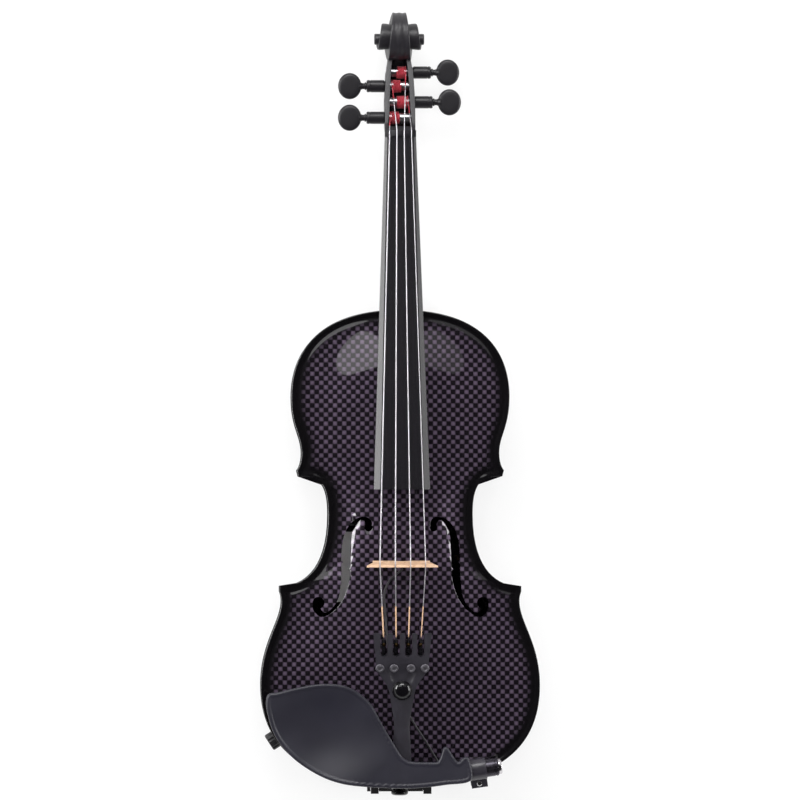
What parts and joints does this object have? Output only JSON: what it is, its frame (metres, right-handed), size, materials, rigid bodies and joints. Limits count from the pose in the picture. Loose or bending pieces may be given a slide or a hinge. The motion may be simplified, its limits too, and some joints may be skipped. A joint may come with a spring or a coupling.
{
  "type": "electric violin",
  "caption": "Bowed four-string violin with a hollow carbon-composite body, bridge pickup, output jack, volume knob, geared pegs, fine tuners and a clamped chinrest.",
  "frame": {"origin": "centre of the bounding box in X and Y, at the lowest point of the back and the scroll, which the violin lies on", "axes": "+Z out of the top plate, +Y from the tail to the scroll, +X to the treble side"},
  "size_m": [0.2092, 0.59, 0.0934],
  "materials": {
    "carbon_top": "glossy clear-coated plain carbon weave that fades into a black border",
    "gloss_black": "polished black lacquer",
    "composite_black": "moulded satin black composite",
    "satin_black": "satin black lacquered composite",
    "fingerboard_black": "satin black, lightly polished",
    "peg_black": "satin black",
    "chinrest_black": "satin black",
    "maple": "plain maple, fine sanded",
    "spruce": "bare spruce",
    "paper": "bare matt paper",
    "cork": "bare cork",
    "string_steel": "bright wound metal",
    "red_silk": "silk winding",
    "spool_aluminium": "turned aluminium",
    "tuner_metal": "black plated",
    "black_metal": "satin black plated",
    "chrome": "polished",
    "clamp_steel": "plain steel",
    "cord_black": "smooth black plastic"
  },
  "bodies": {
    "body": {"top_plate": "carbon_top", "back_plate": "gloss_black", "ribs": "gloss_black", "neck_block": "composite_black", "end_block": "composite_black", "bass_bar": "spruce", "sound_post": "spruce", "inside_label": "paper", "neck": "satin_black", "fingerboard": "fingerboard_black", "nut": "fingerboard_black", "bridge": "maple", "saddle": "gloss_black", "end_button": "gloss_black", "tailpiece": "composite_black", "tailpiece_dome": "gloss_black", "tail_cord": "cord_black", "string_g": "string_steel", "string_d": "string_steel", "string_a": "string_steel", "string_e": "string_steel", "peg_collar_g": "peg_black", "peg_collar_d": "peg_black", "peg_collar_a": "peg_black", "peg_collar_e": "peg_black", "chinrest": "chinrest_black", "clamp_post_bass": "clamp_steel", "clamp_post_treble": "clamp_steel", "chinrest_cork_bass": "cork", "chinrest_cork_treble": "cork", "clamp_foot": "clamp_steel", "jack_barrel": "black_metal", "jack_nut": "chrome", "jack_band": "black_metal", "jack_foot": "clamp_steel", "potentiometer": "clamp_steel", "pickup_lead": "cord_black"},
    "peg_g": {"peg_head_g": "peg_black"},
    "peg_d": {"peg_head_d": "peg_black"},
    "peg_a": {"peg_head_a": "peg_black"},
    "peg_e": {"peg_head_e": "peg_black"},
    "spool_g": {"peg_spool_g": "spool_aluminium", "winding_g": "red_silk"},
    "spool_d": {"peg_spool_d": "spool_aluminium", "winding_d": "red_silk"},
    "spool_a": {"peg_spool_a": "spool_aluminium", "winding_a": "red_silk"},
    "spool_e": {"peg_spool_e": "spool_aluminium", "winding_e": "red_silk"},
    "screw_g": {"fine_tuner_screw_g": "tuner_metal"},
    "screw_d": {"fine_tuner_screw_d": "tuner_metal"},
    "screw_a": {"fine_tuner_screw_a": "tuner_metal"},
    "screw_e": {"fine_tuner_screw_e": "tuner_metal"},
    "lever_g": {"fine_tuner_lever_g": "tuner_metal"},
    "lever_d": {"fine_tuner_lever_d": "tuner_metal"},
    "lever_a": {"fine_tuner_lever_a": "tuner_metal"},
    "lever_e": {"fine_tuner_lever_e": "tuner_metal"},
    "knob": {"volume_knob": "peg_black"},
    "barrel_bass": {"clamp_barrel_bass": "chrome"},
    "barrel_treble": {"clamp_barrel_treble": "chrome"}
  },
  "joints": [
    {"name": "peg_g_turn", "type": "hinge", "parent": "body", "child": "peg_g", "pos_m": [-0.03, 0.2148, 0.03025], "axis": [1, 0, 0], "range_deg": [-350, 10]},
    {"name": "peg_d_turn", "type": "hinge", "parent": "body", "child": "peg_d", "pos_m": [-0.03, 0.2392, 0.02207], "axis": [1, 0, 0], "range_deg": [-350, 10]},
    {"name": "peg_a_turn", "type": "hinge", "parent": "body", "child": "peg_a", "pos_m": [0.03, 0.2498, 0.01923], "axis": [1, 0, 0], "range_deg": [-350, 10]},
    {"name": "peg_e_turn", "type": "hinge", "parent": "body", "child": "peg_e", "pos_m": [0.03, 0.2269, 0.02604], "axis": [1, 0, 0], "range_deg": [-350, 10]},
    {"name": "spool_g_turn", "type": "hinge", "parent": "body", "child": "spool_g", "pos_m": [0, 0.2148, 0.03025], "axis": [1, 0, 0], "range_deg": [-90, 3]},
    {"name": "spool_d_turn", "type": "hinge", "parent": "body", "child": "spool_d", "pos_m": [0, 0.2392, 0.02207], "axis": [1, 0, 0], "range_deg": [-90, 3]},
    {"name": "spool_a_turn", "type": "hinge", "parent": "body", "child": "spool_a", "pos_m": [0, 0.2498, 0.01923], "axis": [1, 0, 0], "range_deg": [-90, 3]},
    {"name": "spool_e_turn", "type": "hinge", "parent": "body", "child": "spool_e", "pos_m": [0, 0.2269, 0.02604], "axis": [1, 0, 0], "range_deg": [-90, 3]},
    {"name": "tuner_g_turn", "type": "hinge", "parent": "body", "child": "screw_g", "pos_m": [-0.0168, -0.1974, 0.07728], "axis": [0, -0.1966, 0.9805], "range_deg": [-240, 720]},
    {"name": "tuner_d_turn", "type": "hinge", "parent": "body", "child": "screw_d", "pos_m": [-0.0063, -0.1974, 0.07728], "axis": [0, -0.1966, 0.9805], "range_deg": [-240, 720]},
    {"name": "tuner_a_turn", "type": "hinge", "parent": "body", "child": "screw_a", "pos_m": [0.0063, -0.1974, 0.07728], "axis": [0, -0.1966, 0.9805], "range_deg": [-240, 720]},
    {"name": "tuner_e_turn", "type": "hinge", "parent": "body", "child": "screw_e", "pos_m": [0.0168, -0.1974, 0.07728], "axis": [0, -0.1966, 0.9805], "range_deg": [-240, 720]},
    {"name": "lever_g_tilt", "type": "hinge", "parent": "body", "child": "lever_g", "pos_m": [-0.0137, -0.186, 0.07317], "axis": [1, 0, 0], "range_deg": [-1.1, 3.2]},
    {"name": "lever_d_tilt", "type": "hinge", "parent": "body", "child": "lever_d", "pos_m": [-0.0046, -0.186, 0.07317], "axis": [1, 0, 0], "range_deg": [-1.1, 3.2]},
    {"name": "lever_a_tilt", "type": "hinge", "parent": "body", "child": "lever_a", "pos_m": [0.0046, -0.186, 0.07317], "axis": [1, 0, 0], "range_deg": [-1.1, 3.2]},
    {"name": "lever_e_tilt", "type": "hinge", "parent": "body", "child": "lever_e", "pos_m": [0.0137, -0.186, 0.07317], "axis": [1, 0, 0], "range_deg": [-1.1, 3.2]},
    {"name": "volume_turn", "type": "hinge", "parent": "body", "child": "knob", "pos_m": [-0.0906, -0.25059, 0.03], "axis": [-0.8366, -0.5478, 0], "range_deg": [-150, 150]},
    {"name": "clamp_bass_turn", "type": "hinge", "parent": "body", "child": "barrel_bass", "pos_m": [-0.0197, -0.2904, 0.0325], "axis": [0, 0, 1], "range_deg": [-180, 180]},
    {"name": "clamp_treble_turn", "type": "hinge", "parent": "body", "child": "barrel_treble", "pos_m": [0.0197, -0.2904, 0.0325], "axis": [0, 0, 1], "range_deg": [-180, 180]}
  ],
  "couplings": [
    {"joint": "spool_g_turn", "follows": "peg_g_turn", "ratio": 0.25},
    {"joint": "spool_d_turn", "follows": "peg_d_turn", "ratio": 0.25},
    {"joint": "spool_a_turn", "follows": "peg_a_turn", "ratio": 0.25},
    {"joint": "spool_e_turn", "follows": "peg_e_turn", "ratio": 0.25},
    {"joint": "lever_g_tilt", "follows": "tuner_g_turn", "ratio": 0.0041667},
    {"joint": "lever_d_tilt", "follows": "tuner_d_turn", "ratio": 0.0041667},
    {"joint": "lever_a_tilt", "follows": "tuner_a_turn", "ratio": 0.0041667},
    {"joint": "lever_e_tilt", "follows": "tuner_e_turn", "ratio": 0.0041667}
  ]
}
